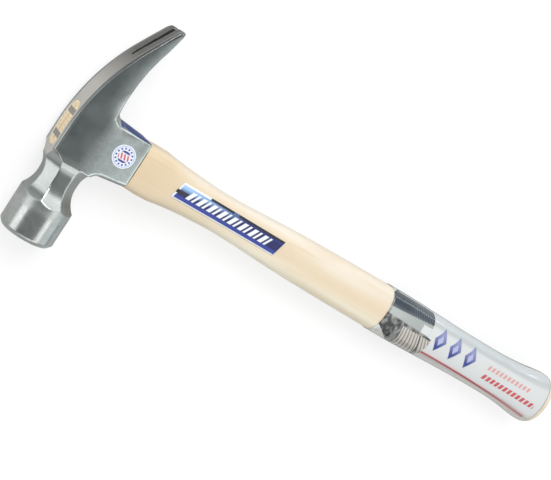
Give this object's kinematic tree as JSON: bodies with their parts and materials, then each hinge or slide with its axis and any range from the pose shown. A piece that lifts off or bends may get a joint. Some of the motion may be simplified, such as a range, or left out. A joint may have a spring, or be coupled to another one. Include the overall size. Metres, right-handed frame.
{
  "type": "framing hammer",
  "caption": "Wood-handled framing hammer with a straight rip claw, an adze eye, a ground eight-sided neck and a film sleeve on the grip.",
  "frame": {"origin": "under the middle of the whole hammer as it lies on its side, at the height of the lowest point of the poll", "axes": "+X from the head to the butt, +Y towards the claw tips, +Z out of the upper cheek"},
  "size_m": [0.4064, 0.138, 0.0317],
  "materials": {
    "polished_steel": "ground and polished forged steel",
    "hardwood": "pale straight-grained hardwood, clear lacquer",
    "wedge_wood": "bare hardwood end grain",
    "wedge_steel": "ground flush with the crown",
    "sleeve_film": "glossy silver film with a printed band, printed shapes and a stripe",
    "label_film": "glossy printed film, blue with a pale border",
    "sticker_film": "glossy printed film, white with blue and red shapes"
  },
  "bodies": {
    "root": {"hammer_head": "polished_steel", "handle": "hardwood", "wood_wedge": "wedge_wood", "steel_wedge_poll_side": "wedge_steel", "steel_wedge_claw_side": "wedge_steel", "grip_sleeve": "sleeve_film", "handle_label": "label_film", "cheek_sticker": "sticker_film"}
  },
  "joints": []
}
